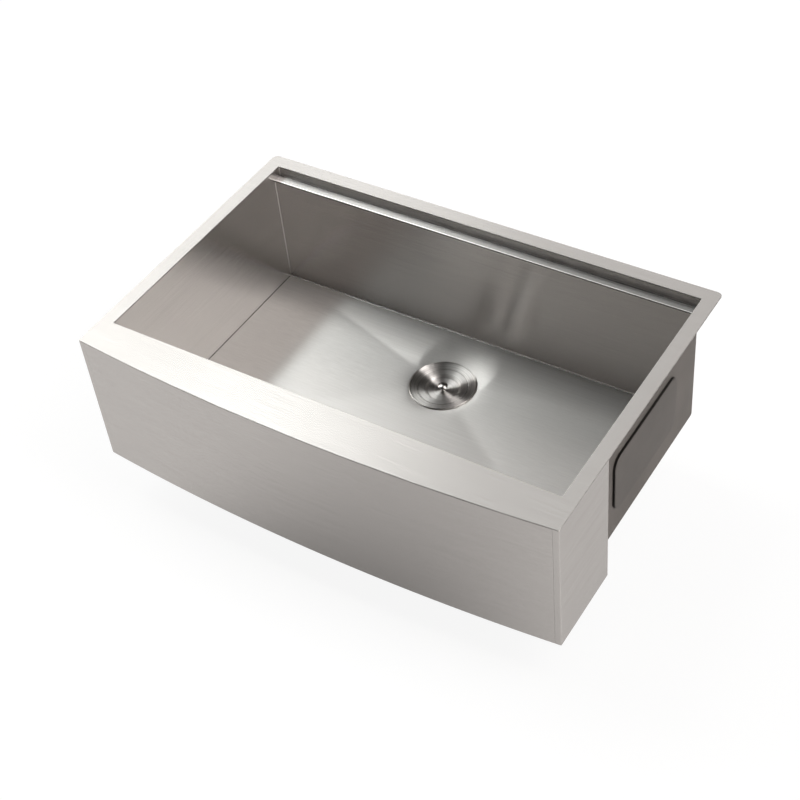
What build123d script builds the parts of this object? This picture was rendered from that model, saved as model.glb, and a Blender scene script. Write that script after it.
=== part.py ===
"""Apron front kitchen sink in folded stainless sheet, with its basket strainer.

Millimetres. X runs to the right, Y from the apron to the back, Z up. The origin is the point
where the drain's axis meets the plane of the rim's top face.
"""

from build123d import *
from math import cos, radians, sqrt, tan
import os

os.makedirs("parts", exist_ok=True)

# ---------------------------------------------------------------- driving dimensions

# Sheet metal
sheet = 1.5                 # 16 gauge stainless
bend = 1.0                  # inside radius of a folded corner
weld_seam = 0.1             # hairline between two sheets welded edge to edge

# Rim
width = 838.2               # 33 in, outside
side_depth = 535.0          # front corner to back edge
bow = 20.6                  # how far the apron bulges past its corners
back_corner_radius = 9.5
side_rim = 24.7
back_rim = 25.4
front_deck = 56.4           # front corner to the bowl's mouth
drain_setback = 162.0       # back edge to the drain's axis

# Bowl
ledge_width = 16.5          # shelf that carries boards and racks
ledge_drop = 20.0           # rim's top to the shelf
bowl_depth = 232.5          # rim's top to the floor, at the walls
floor_fall = 6.0            # fall of the creased floor from the walls to the drain

# Apron
apron_height = 252.0
apron_corner_radius = 1.8
return_depth = 148.4        # how far the apron runs back along each side
return_lap = 9.6            # strip of the side sheet that shows at the front
hem_depth = 25.0            # strip under the panel, behind the line of the corners

# Sound deadening pads
pad_thickness = 5.0
pad_corner = 19.0
pad_edge = 1.2
pad_height = 110.0
pad_top = 75.0              # rim's top to the pad's top
side_pad_length = 210.0
side_pad_centre = -60.0     # along Y
long_pad_length = 480.0     # on the front and back walls
floor_pad_size = 150.0
floor_pad_share = 0.65      # of the way from the middle to an end wall
floor_pad_y = -35.0

# Drain seat pressed into the floor
drain_hole_radius = 45.0    # 3 1/2 in opening
seat_radius = 61.0          # flat round the flange
seat_ramp_angle = 7.0       # soft slope from the floor down to the flat
seat_ramp_reach = 45.0

# Strainer body
flange_radius = 57.15       # 4 1/2 in flange
flange_sheet = 1.0
lip_height = 3.0            # raised bead round the flange, above the seat's flat
lip_roll = 0.6
lip_top = 1.3               # width of the bead's top
lip_width = 2.6             # and of its foot
lip_gap = 0.2               # under the bead
cone_angle = 12.5           # fall of the flange towards the cup
cone_rise = 1.35            # flange's edge above the seat's flat, without the bead
throat_radius = 42.6        # cup above the basket's seat
throat_roll = 1.2
cup_radius = 40.8           # cup below it
cup_wall = 1.2
cup_depth = 52.0            # seat's flat to where the cup draws in
draw_depth = 12.0           # height of the draw down to the outlet
outlet_bore_radius = 21.0
outlet_radius = 23.9        # 1 1/2 in pipe thread
outlet_length = 27.0

# What clamps the strainer body
gasket = 1.0
gasket_bore_radius = 46.0
gasket_radius = 53.0
washer_bore_radius = 44.2
washer_thickness = 3.5      # at the hole's edge
friction_thickness = 1.2
thread_fit = 0.1
nut_height = 12.0
nut_flange_height = 3.0
nut_flange_radius = 54.0
nut_radius = 48.0
lug_count = 8
lug_width = 6.0

# Waste connection
tail_bore_radius = 19.45    # passes a 1 1/2 in tailpiece
tail_washer_thickness = 2.5
coupling_lip = 3.0
coupling_height = 22.0
coupling_radius = 28.0
ear_count = 6
ear_width = 7.0
ear_reach = 3.0

# Lid
running_gap = 0.3           # between pieces that lift apart
lid_radius = 42.0
lid_sheet = 1.0
lid_rim_drop = 1.9          # seat's flat down to the lid's edge
lid_ring_radius = 31.2      # where the ring turns down into the dish
lid_ring_fall = 1.1
lid_dish_radius = 26.0      # foot of the dish's wall
lid_dish_fall = 4.8
lid_bend = 1.2
lid_depth = 9.3             # seat's flat down to the foot of the post
seal_radius = 41.6
seal_width = 3.8
seal_thickness = 3.0
post_radius = 2.75
collar_radius = 4.0
collar_height = 1.2
stud_radius = 2.0           # through the dish
stud_tail = 0.8
pin_radius = 1.75           # into the knob
pin_length = 3.9
hole_fit = 0.1
lid_washer_radius = 5.0
lid_washer_thickness = 1.2
lid_nut_flats = 7.0
lid_nut_height = 3.2
knob_radius = 8.3
knob_neck_radius = 3.6
knob_base_drop = 2.7        # seat's flat down to the knob's neck
knob_flare = 2.6
knob_flare_sag = 0.9
knob_edge = 1.2
knob_crown = 2.8

# Basket
basket_sheet = 0.8
basket_rim_radius = 41.9
basket_mouth_radius = 37.4
basket_foot_radius = 31.0
basket_height = 40.0
basket_corner = 4.0         # bevel between the basket's floor and wall
hole_radius = 2.2
hole_rings = ((9.5, 6), (18.5, 12))
strap_width = 8.0
strap_thickness = 1.2
strap_drop = 21.0           # basket's rim to the strap's crown
strap_foot_drop = 36.0
strap_corner = 6.0
strap_gap = 0.3

# ---------------------------------------------------------------- places worked out

half_width = width / 2
y_back = drain_setback
y_corner = y_back - side_depth
x_mouth = half_width - side_rim
y_mouth_back = y_back - back_rim
y_mouth_front = y_corner + front_deck
y_wall_back = y_mouth_back - ledge_width
y_wall_front = y_mouth_front + ledge_width
bow_radius = (half_width**2 + bow**2) / (2 * bow)
bow_centre = y_corner - bow + bow_radius
x_seam = half_width - return_lap


def bow_y(x, inward=0.0):
    """Y of the apron's bowed outer face at x, or of a face that lies inward of it."""
    return bow_centre - sqrt((bow_radius - inward) ** 2 - x**2)


def fold_points(out):
    """Corners of the trough's section, moved out from the bowl's inside face."""
    return [
        (y_mouth_front - out, -sheet),
        (y_mouth_front - out, -ledge_drop - out),
        (y_wall_front - out, -ledge_drop - out),
        (y_wall_front - out, -bowl_depth - out),
        (y_wall_back + out, -bowl_depth - out),
        (y_wall_back + out, -ledge_drop - out),
        (y_mouth_back + out, -ledge_drop - out),
        (y_mouth_back + out, -sheet),
    ]


inner_radii = [bend, bend + sheet, bend, bend, bend + sheet, bend]
outer_radii = [bend + sheet, bend, bend + sheet, bend + sheet, bend, bend + sheet]

# Drain levels. Heights in the strainer are counted from the flat of the drain seat.
drain_z = -(bowl_depth + floor_fall)
drain_section = Plane((0, 0, drain_z), x_dir=(1, 0, 0), z_dir=(0, -1, 0))
cone_slope = tan(radians(cone_angle))
flange_stack = flange_sheet / cos(radians(cone_angle))
seat_stack = flange_stack + gasket
floor_stack = seat_stack + sheet


def cone_z(radius, below=0.0):
    """Height of the flange's cone, or of a face that lies below it."""
    return cone_rise - cone_slope * (flange_radius - radius) - below


seat_cone_radius = flange_radius - (cone_rise - seat_stack) / cone_slope
ramp_radius = seat_radius + seat_ramp_reach
ramp_rise = seat_ramp_reach * tan(radians(seat_ramp_angle))
seal_base = -lid_rim_drop - lid_sheet - seal_thickness
basket_top = seal_base - running_gap
basket_seat = basket_top - basket_sheet - running_gap
basket_floor = basket_top - basket_height
thread_radius = cup_radius + cup_wall
washer_base = cone_z(drain_hole_radius, floor_stack) - washer_thickness
nut_top = washer_base - friction_thickness
outlet_top = -cup_depth - draw_depth
outlet_end = outlet_top - outlet_length
coupling_base = outlet_end - tail_washer_thickness - coupling_lip


def keep(piece, label):
    """Label a finished piece and write it."""
    piece.part.label = label
    export_step(piece.part, "parts/" + label + ".step")


def section(rows):
    """Closed outline beside the drain's axis. Each row is a radius, a height and a corner radius."""
    with BuildSketch(drain_section) as outline:
        with BuildLine():
            FilletPolyline(*[row[:2] for row in rows], radius=[row[2] for row in rows], close=True)
        make_face()
    return outline.sketch


def ring_section(inner, outer, low, high):
    """Outline of a ring. low and high give the height of its faces at a radius."""
    return section([
        (inner, low(inner), 0),
        (outer, low(outer), 0),
        (outer, high(outer), 0),
        (inner, high(inner), 0),
    ])


# ---------------------------------------------------------------- bowl


def creased_floor(top):
    """Outlines between which four flat facets fall from the bends to the drain."""
    outlines = []
    for level, share in ((top, 1.0), (top - floor_fall, 0.1)):
        y_low = (y_wall_front + bend) * share
        y_high = (y_wall_back - bend) * share
        with BuildSketch(Plane.XY.offset(level)) as outline:
            with Locations((0, (y_low + y_high) / 2)):
                Rectangle(2 * x_mouth * share, y_high - y_low)
        outlines.append(outline.sketch)
    return outlines


def drain_seat(out):
    """Space over the drain seat, from the hole to the top of its ramp, moved down by a sheet."""
    hole_z = cone_z(drain_hole_radius, seat_stack) - out
    return section([
        (0, hole_z, 0),
        (drain_hole_radius, hole_z, 0),
        (seat_cone_radius, -out, 0),
        (seat_radius, -out, 0),
        (ramp_radius, ramp_rise - out, 0),
        (0, ramp_rise - out, 0),
    ])


with BuildPart() as bowl_trough:
    with BuildSketch(Plane.YZ):
        with BuildLine():
            FilletPolyline(*fold_points(0), radius=inner_radii)
            offset(amount=sheet, side=Side.RIGHT, closed=True)
        make_face()
    extrude(amount=x_mouth, both=True)
    loft(creased_floor(-bowl_depth - sheet), ruled=True)
    revolve(drain_seat(sheet), axis=Axis.Z)
    loft(creased_floor(-bowl_depth), ruled=True, mode=Mode.SUBTRACT)
    revolve(drain_seat(0), axis=Axis.Z, mode=Mode.SUBTRACT)
    with BuildSketch(Plane.XY.offset(drain_z)):
        Circle(drain_hole_radius)
    extrude(amount=seat_radius, both=True, mode=Mode.SUBTRACT)
keep(bowl_trough, "bowl_trough")

for side, hand in ((-1, "left"), (1, "right")):
    with BuildPart() as end_wall:
        with BuildSketch(Plane.YZ.offset(side * x_mouth)):
            with BuildLine():
                fold = FilletPolyline(*fold_points(sheet), radius=outer_radii)
                Line(fold @ 1, fold @ 0)
            make_face()
        extrude(amount=side * sheet)
    keep(end_wall, hand + "_end_wall")

# ---------------------------------------------------------------- rim and apron

with BuildPart() as rim_frame:
    with BuildSketch(Plane.XY.offset(-sheet)) as rim_outline:
        with BuildLine():
            front = ThreePointArc((-half_width, y_corner), (0, y_corner - bow), (half_width, y_corner))
            Polyline(front @ 1, (half_width, y_back), (-half_width, y_back), front @ 0)
        make_face()
        fillet(rim_outline.vertices().group_by(Axis.Y)[-1], back_corner_radius)
        fillet(rim_outline.vertices().group_by(Axis.Y)[0], apron_corner_radius)
        with Locations((0, (y_mouth_front + y_mouth_back) / 2)):
            Rectangle(2 * x_mouth, y_mouth_back - y_mouth_front, mode=Mode.SUBTRACT)
    extrude(amount=sheet)
keep(rim_frame, "rim_frame")

with BuildPart() as apron_front_panel:
    x_edge = x_seam - weld_seam
    with BuildSketch(Plane.XY.offset(-apron_height)):
        with BuildLine():
            ThreePointArc((-x_edge, bow_y(x_edge)), (0, bow_y(0)), (x_edge, bow_y(x_edge)))
            offset(amount=sheet, side=Side.LEFT, closed=True)
        make_face()
    extrude(amount=apron_height - sheet)
keep(apron_front_panel, "apron_front_panel")

for side, hand, inside in ((-1, "left", Side.RIGHT), (1, "right", Side.LEFT)):
    with BuildPart() as apron_return:
        with BuildSketch(Plane.XY.offset(-apron_height)):
            with BuildLine():
                FilletPolyline(
                    (side * x_seam, bow_y(x_seam)),
                    (side * half_width, y_corner),
                    (side * half_width, y_corner + return_depth),
                    (side * (x_mouth + sheet), y_corner + return_depth),
                    radius=apron_corner_radius,
                )
                offset(amount=sheet, side=inside, closed=True)
            make_face()
        extrude(amount=apron_height - sheet)
    keep(apron_return, "apron_" + hand + "_return")

with BuildPart() as apron_bottom_hem:
    x_hem = x_seam - sheet
    y_hem = y_corner + hem_depth
    with BuildSketch(Plane.XY.offset(-apron_height)):
        with BuildLine():
            hem_front = ThreePointArc(
                (-x_hem, bow_y(x_hem, sheet)), (0, bow_y(0, sheet)), (x_hem, bow_y(x_hem, sheet))
            )
            Polyline(hem_front @ 1, (x_hem, y_hem), (-x_hem, y_hem), hem_front @ 0)
        make_face()
    extrude(amount=sheet)
keep(apron_bottom_hem, "apron_bottom_hem")

# ---------------------------------------------------------------- sound deadening pads


def pad_outline(wall, along, length):
    """Outline of a pad on the plane of an outer wall."""
    with BuildSketch(wall) as outline:
        with Locations((along, -pad_top - pad_height / 2)):
            RectangleRounded(length, pad_height, pad_corner)
    return outline.sketch


for side, hand in ((-1, "left"), (1, "right")):
    with BuildPart() as side_pad:
        wall = Plane((side * (x_mouth + sheet), 0, 0), x_dir=(0, side, 0), z_dir=(side, 0, 0))
        extrude(pad_outline(wall, side * side_pad_centre, side_pad_length), amount=pad_thickness)
        chamfer(side_pad.edges().group_by(Axis.X)[-1 if side > 0 else 0], pad_edge)
    keep(side_pad, "sound_pad_" + hand)

for place, y_wall, out in (("back", y_wall_back + sheet, 1), ("front", y_wall_front - sheet, -1)):
    with BuildPart() as long_pad:
        wall = Plane((0, y_wall, 0), x_dir=(-out, 0, 0), z_dir=(0, out, 0))
        extrude(pad_outline(wall, 0, long_pad_length), amount=pad_thickness)
        chamfer(long_pad.edges().group_by(Axis.Y)[-1 if out > 0 else 0], pad_edge)
    keep(long_pad, "sound_pad_" + place)

for side, hand in ((-1, "left"), (1, "right")):
    with BuildPart() as floor_pad:
        pad_level = -bowl_depth - sheet - pad_thickness
        loft(creased_floor(pad_level), ruled=True)
        with BuildSketch(Plane.XY.offset(pad_level)):
            with Locations((0, (y_wall_front + y_wall_back) / 2)):
                Rectangle(2 * x_mouth, y_wall_back - y_wall_front)
        extrude(amount=pad_thickness)
        with BuildSketch(Plane.XY.offset(pad_level - floor_fall)):
            with Locations((side * floor_pad_share * x_mouth, floor_pad_y)):
                RectangleRounded(floor_pad_size, floor_pad_size, pad_corner)
        extrude(amount=floor_fall + pad_thickness, mode=Mode.INTERSECT)
        loft(creased_floor(pad_level + pad_thickness), ruled=True, mode=Mode.SUBTRACT)
    keep(floor_pad, "sound_pad_floor_" + hand)

# ---------------------------------------------------------------- strainer body and its clamp

with BuildPart() as strainer_body:
    lip_inside = flange_radius - flange_sheet
    lip_foot = cone_z(flange_radius, seat_stack) + lip_gap
    throat_outside = throat_radius + cup_wall
    profile = [
        (flange_radius, lip_foot, 0),
        (flange_radius, lip_height, lip_roll),
        (flange_radius - lip_top, lip_height, lip_roll),
        (flange_radius - lip_width, cone_z(flange_radius - lip_width), 0),
        (throat_radius, cone_z(throat_radius), throat_roll),
        (throat_radius, basket_seat, 0),
        (cup_radius, basket_seat, 0),
        (cup_radius, -cup_depth, 0),
        (outlet_bore_radius, outlet_top, 0),
        (outlet_bore_radius, outlet_end, 0),
        (outlet_radius, outlet_end, 0),
        (outlet_radius, outlet_top, 0),
        (thread_radius, -cup_depth - cup_wall, 0),
        (thread_radius, basket_seat - cup_wall, 0),
        (throat_outside, basket_seat - cup_wall, 0),
        (throat_outside, cone_z(throat_outside, flange_stack), 0),
        (lip_inside, cone_z(lip_inside, flange_stack), 0),
        (lip_inside, lip_foot, 0),
    ]
    revolve(section(profile), axis=Axis.Z)
keep(strainer_body, "strainer_body")

with BuildPart() as flange_gasket:
    outline = ring_section(
        gasket_bore_radius,
        gasket_radius,
        lambda radius: cone_z(radius, seat_stack),
        lambda radius: cone_z(radius, flange_stack),
    )
    revolve(outline, axis=Axis.Z)
keep(flange_gasket, "flange_gasket")

with BuildPart() as sink_washer:
    outline = ring_section(
        drain_hole_radius,
        gasket_radius,
        lambda radius: washer_base,
        lambda radius: cone_z(radius, floor_stack),
    )
    revolve(outline, axis=Axis.Z)
keep(sink_washer, "sink_washer")

with BuildPart() as friction_ring:
    outline = ring_section(washer_bore_radius, nut_flange_radius, lambda radius: nut_top, lambda radius: washer_base)
    revolve(outline, axis=Axis.Z)
keep(friction_ring, "friction_ring")

with BuildPart() as lock_nut:
    nut_plane = Plane.XY.offset(drain_z + nut_top)
    with BuildSketch(nut_plane):
        Circle(nut_radius)
        with PolarLocations(nut_radius, lug_count):
            Rectangle(2 * (nut_flange_radius - nut_radius), lug_width)
    extrude(amount=-nut_height)
    with BuildSketch(nut_plane):
        Circle(nut_flange_radius)
    extrude(amount=-nut_flange_height)
    with BuildSketch(nut_plane):
        Circle(thread_radius + thread_fit)
    extrude(amount=-nut_height, mode=Mode.SUBTRACT)
keep(lock_nut, "lock_nut")

with BuildPart() as tailpiece_washer:
    outline = ring_section(
        tail_bore_radius + thread_fit,
        outlet_radius - thread_fit,
        lambda radius: coupling_base + coupling_lip,
        lambda radius: outlet_end,
    )
    revolve(outline, axis=Axis.Z)
keep(tailpiece_washer, "tailpiece_washer")

with BuildPart() as coupling_nut:
    coupling_plane = Plane.XY.offset(drain_z + coupling_base)
    with BuildSketch(coupling_plane):
        Circle(coupling_radius)
        with PolarLocations(coupling_radius, ear_count):
            Rectangle(2 * ear_reach, ear_width)
    extrude(amount=coupling_height)
    with BuildSketch(coupling_plane):
        Circle(tail_bore_radius)
    extrude(amount=coupling_height, mode=Mode.SUBTRACT)
    with BuildSketch(coupling_plane.offset(coupling_lip)):
        Circle(outlet_radius + thread_fit)
    extrude(amount=coupling_height, mode=Mode.SUBTRACT)
keep(coupling_nut, "coupling_nut")

# ---------------------------------------------------------------- basket


def basket_wall(z):
    """Radius of the basket's inside face at a height, above the bevel."""
    rise = (z - basket_floor - basket_corner) / (basket_height - basket_corner)
    return basket_foot_radius + (basket_mouth_radius - basket_foot_radius) * rise


with BuildPart() as basket:
    with BuildSketch(drain_section):
        with BuildLine():
            Polyline(
                (0, basket_floor),
                (basket_foot_radius - basket_corner, basket_floor),
                (basket_foot_radius, basket_floor + basket_corner),
                (basket_mouth_radius, basket_top),
                (basket_rim_radius, basket_top),
            )
            offset(amount=basket_sheet, side=Side.RIGHT, closed=True)
        make_face()
    revolve(axis=Axis.Z)
    with BuildSketch(Plane.XY.offset(drain_z + basket_floor)):
        Circle(hole_radius)
        for ring_radius, hole_count in hole_rings:
            with PolarLocations(ring_radius, hole_count):
                Circle(hole_radius)
    extrude(amount=2 * basket_sheet, both=True, mode=Mode.SUBTRACT)
keep(basket, "basket")

with BuildPart() as basket_handle:
    crown_z = basket_top - strap_drop
    foot_z = basket_top - strap_foot_drop
    crown_x = basket_wall(crown_z) - strap_gap
    foot_x = basket_wall(foot_z) - strap_gap
    with BuildSketch(drain_section):
        with BuildLine():
            FilletPolyline(
                (-foot_x, foot_z), (-crown_x, crown_z), (crown_x, crown_z), (foot_x, foot_z), radius=strap_corner
            )
            offset(amount=strap_thickness, side=Side.RIGHT, closed=True)
        make_face()
    extrude(amount=strap_width / 2, both=True)
keep(basket_handle, "basket_handle")

# ---------------------------------------------------------------- lid

step_z = -lid_rim_drop - lid_ring_fall
ring_slope = lid_ring_fall / (lid_radius - lid_ring_radius)
dish_base = -lid_depth - lid_sheet
lid_washer_base = dish_base - lid_washer_thickness
lid_nut_base = lid_washer_base - lid_nut_height
pin_top = -knob_base_drop + pin_length


def ring_under(radius):
    """Height of the underside of the lid's outer ring."""
    slant = sqrt(1 + ring_slope**2)
    return -lid_rim_drop - ring_slope * (lid_radius - radius) - lid_sheet * slant


with BuildPart() as lid_dish:
    with BuildSketch(drain_section):
        with BuildLine():
            FilletPolyline(
                (stud_radius + hole_fit, -lid_depth),
                (collar_radius, -lid_depth),
                (lid_dish_radius, step_z - lid_dish_fall),
                (lid_ring_radius, step_z),
                (lid_radius, -lid_rim_drop),
                radius=[0, lid_bend, 0],
            )
            offset(amount=lid_sheet, side=Side.RIGHT, closed=True)
        make_face()
    revolve(axis=Axis.Z)
keep(lid_dish, "lid_dish")

with BuildPart() as lid_seal:
    outline = ring_section(seal_radius - seal_width, seal_radius, lambda radius: seal_base, ring_under)
    revolve(outline, axis=Axis.Z)
keep(lid_seal, "lid_seal")

with BuildPart() as lid_post:
    profile = [
        (0, lid_nut_base - stud_tail, 0),
        (stud_radius, lid_nut_base - stud_tail, 0),
        (stud_radius, -lid_depth, 0),
        (collar_radius, -lid_depth, 0),
        (collar_radius, -lid_depth + collar_height, 0),
        (post_radius, -lid_depth + collar_height, 0),
        (post_radius, -knob_base_drop, 0),
        (pin_radius, -knob_base_drop, 0),
        (pin_radius, pin_top, 0),
        (0, pin_top, 0),
    ]
    revolve(section(profile), axis=Axis.Z)
keep(lid_post, "lid_post")

with BuildPart() as lid_knob:
    pin_bore = pin_radius + hole_fit
    neck = (knob_neck_radius, -knob_base_drop)
    edge_low = (knob_radius, -knob_base_drop + knob_flare)
    edge_high = (knob_radius, edge_low[1] + knob_edge)
    crown = (0, edge_high[1] + knob_crown)
    dome_radius = (knob_radius**2 + knob_crown**2) / (2 * knob_crown)
    dome_middle = (knob_radius / 2, crown[1] - dome_radius + sqrt(dome_radius**2 - (knob_radius / 2) ** 2))
    with BuildSketch(drain_section):
        with BuildLine():
            SagittaArc(neck, edge_low, knob_flare_sag)
            Line(edge_low, edge_high)
            ThreePointArc(edge_high, dome_middle, crown)
            Polyline(crown, (0, pin_top + hole_fit), (pin_bore, pin_top + hole_fit), (pin_bore, neck[1]), neck)
        make_face()
    revolve(axis=Axis.Z)
keep(lid_knob, "lid_knob")

with BuildPart() as lid_washer:
    outline = ring_section(
        stud_radius + hole_fit,
        lid_washer_radius,
        lambda radius: lid_washer_base,
        lambda radius: dish_base,
    )
    revolve(outline, axis=Axis.Z)
keep(lid_washer, "lid_washer")

with BuildPart() as lid_nut:
    with BuildSketch(Plane.XY.offset(drain_z + lid_nut_base)):
        RegularPolygon(lid_nut_flats / 2, 6, major_radius=False)
        Circle(stud_radius + hole_fit, mode=Mode.SUBTRACT)
    extrude(amount=lid_nut_height)
keep(lid_nut, "lid_nut")
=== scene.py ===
from math import cos, hypot, pi, radians, sin, sqrt, tan

import bmesh
import bpy
from mathutils import Euler, Matrix, Vector


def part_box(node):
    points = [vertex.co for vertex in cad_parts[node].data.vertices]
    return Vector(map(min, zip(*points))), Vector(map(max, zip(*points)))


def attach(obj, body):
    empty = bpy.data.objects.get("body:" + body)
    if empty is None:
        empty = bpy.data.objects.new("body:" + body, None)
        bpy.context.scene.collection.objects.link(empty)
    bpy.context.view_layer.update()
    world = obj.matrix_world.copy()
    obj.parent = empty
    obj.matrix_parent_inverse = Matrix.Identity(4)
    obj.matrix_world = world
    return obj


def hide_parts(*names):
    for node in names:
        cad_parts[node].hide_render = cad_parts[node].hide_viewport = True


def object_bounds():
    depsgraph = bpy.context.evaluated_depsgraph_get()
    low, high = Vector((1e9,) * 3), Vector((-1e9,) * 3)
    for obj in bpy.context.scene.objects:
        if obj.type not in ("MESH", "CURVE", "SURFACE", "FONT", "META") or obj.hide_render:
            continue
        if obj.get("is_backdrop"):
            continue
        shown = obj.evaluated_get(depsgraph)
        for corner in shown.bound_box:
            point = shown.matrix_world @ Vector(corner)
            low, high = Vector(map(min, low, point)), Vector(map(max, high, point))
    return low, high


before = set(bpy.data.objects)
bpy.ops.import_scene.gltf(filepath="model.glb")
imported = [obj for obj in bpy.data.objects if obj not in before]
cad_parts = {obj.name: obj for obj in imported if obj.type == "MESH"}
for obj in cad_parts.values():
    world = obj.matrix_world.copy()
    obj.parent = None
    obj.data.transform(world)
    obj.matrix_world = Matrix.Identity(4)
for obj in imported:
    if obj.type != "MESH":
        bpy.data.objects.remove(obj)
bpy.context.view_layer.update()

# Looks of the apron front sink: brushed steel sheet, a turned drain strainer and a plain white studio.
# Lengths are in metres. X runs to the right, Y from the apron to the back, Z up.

MM = 0.001

# ---------------------------------------------------------------- sizes, from the frame where it has them

rim_low, rim_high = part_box("rim_frame")
trough_low, trough_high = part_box("bowl_trough")
wall_low, wall_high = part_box("right_end_wall")
return_low, return_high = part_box("apron_right_return")
hem_low, hem_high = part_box("apron_bottom_hem")
lock_low, lock_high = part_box("lock_nut")
coupling_low, coupling_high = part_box("coupling_nut")

SHEET = wall_high.x - wall_low.x
BEND = 1.0 * MM             # inside radius of a folded corner
FLOOR_BEND = 2.2 * MM       # of the bend between floor and wall
SEAM = 0.1 * MM             # hairline between two welded sheets
BURR = 0.25 * MM            # broken edge of a cut sheet
RIM_EDGE = 0.6 * MM         # softer edge of the rim, which hands touch
CORNER_WELD = 1.3 * MM      # radius of the ground welds in the upright corners

HALF_WIDTH = rim_high.x
BOW = 20.6 * MM             # how far the apron bulges past its corners
Y_CORNER = rim_low.y + BOW
Y_BACK = rim_high.y
BOW_RADIUS = (HALF_WIDTH**2 + BOW**2) / (2 * BOW)
BACK_CORNER = 9.5 * MM
APRON_CORNER = 1.8 * MM
RETURN_LAP = 9.6 * MM       # strip of the side sheet that shows at the front
X_SEAM = HALF_WIDTH - RETURN_LAP
APRON_FOOT = return_low.z

X_MOUTH = wall_low.x
Y_MOUTH_FRONT = trough_low.y + SHEET
Y_MOUTH_BACK = trough_high.y - SHEET
LEDGE_WIDTH = 16.5 * MM
LEDGE_DROP = 20.0 * MM
Y_WALL_FRONT = Y_MOUTH_FRONT + LEDGE_WIDTH
Y_WALL_BACK = Y_MOUTH_BACK - LEDGE_WIDTH
Y_FLOOR_FRONT = Y_WALL_FRONT + FLOOR_BEND
Y_FLOOR_BACK = Y_WALL_BACK - FLOOR_BEND
BOWL_DEPTH = -wall_low.z - SHEET
FLOOR_FALL = 6.0 * MM       # from the walls to the drain
SEAT_Z = -BOWL_DEPTH - FLOOR_FALL
LEVEL_SHARE = 0.1           # share of the way out from the drain at which the fall starts
CREASE_SOFTNESS = 0.035     # of a crease, as a share of the way out

DRAIN_HOLE = 45.0 * MM
SEAT_FLAT = 61.0 * MM       # flat round the flange
SEAT_DIP = 60.19 * MM       # where the seat turns down into the hole
DIP_SLOPE = tan(radians(12.5))   # down into the hole
RAMP_SLOPE = tan(radians(7.0))   # up from the flat to the floor
BASKET_RADIUS = 34.0 * MM   # of the basket's wall, about halfway up
CUP_THREAD = 42.0 * MM      # outside of the cup, where its thread winds
OUTLET_THREAD = 23.9 * MM   # the same of the outlet
PRESS_SOFTNESS = 0.3 * MM   # of the pressed edges round the seat
RAMP_SOFTNESS = 0.8         # of the ramp where it runs out into the floor, as a share of its height
DISHED = 0.5 * MM           # how far the press draws the floor down round the seat
DISH_REACH = 45.0 * MM      # and how far out
DISH_POWER = 4              # how fast that fades on the way out

HANDS = ((-1, "left"), (1, "right"))

# ---------------------------------------------------------------- nodes of finishes and of Geometry Nodes


class Output:
    """An output of a node. Sums and products of it with numbers or other outputs add Math nodes."""

    def __init__(self, nodes, socket):
        self.nodes = nodes
        self.socket = socket

    def maths(self, operation, first, second):
        """Output of a Math node on the two values."""
        return self.nodes.add("ShaderNodeMath", {"operation": operation}, {0: first, 1: second})

    def __add__(self, other):
        return self.maths("ADD", self, other)

    def __sub__(self, other):
        return self.maths("SUBTRACT", self, other)

    def __rsub__(self, other):
        return self.maths("SUBTRACT", other, self)

    def __mul__(self, other):
        return self.maths("MULTIPLY", self, other)

    def __truediv__(self, other):
        return self.maths("DIVIDE", self, other)

    def __pow__(self, other):
        return self.maths("POWER", self, other)

    def at_most(self, other):
        return self.maths("MINIMUM", self, other)

    __radd__ = __add__
    __rmul__ = __mul__


class Nodes:
    """A node tree and the one way in which nodes are added to it."""

    def __init__(self, tree):
        self.tree = tree

    def add(self, kind, settings=None, sockets=None, output=0):
        """Adds a node, with its settings first and then the values or links of its sockets."""
        node = self.tree.nodes.new(kind)
        for name, setting in (settings or {}).items():
            setattr(node, name, setting)
        for name, value in (sockets or {}).items():
            if isinstance(value, Output):
                self.tree.links.new(value.socket, node.inputs[name])
            else:
                node.inputs[name].default_value = value
        return Output(self, node.outputs[output]) if node.outputs else None

    def mix(self, factor, first, second):
        """Colour between two colours."""
        return self.add("ShaderNodeMix", {"data_type": "RGBA"}, {0: factor, 6: first, 7: second}, output=2)

    def ease(self, value, low, high):
        """0 where value is under low, 1 where it is over high, and smooth between."""
        span = {0: value, 1: low, 2: high, 3: 0.0, 4: 1.0}
        return self.add("ShaderNodeMapRange", {"interpolation_type": "SMOOTHSTEP"}, span)


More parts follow.
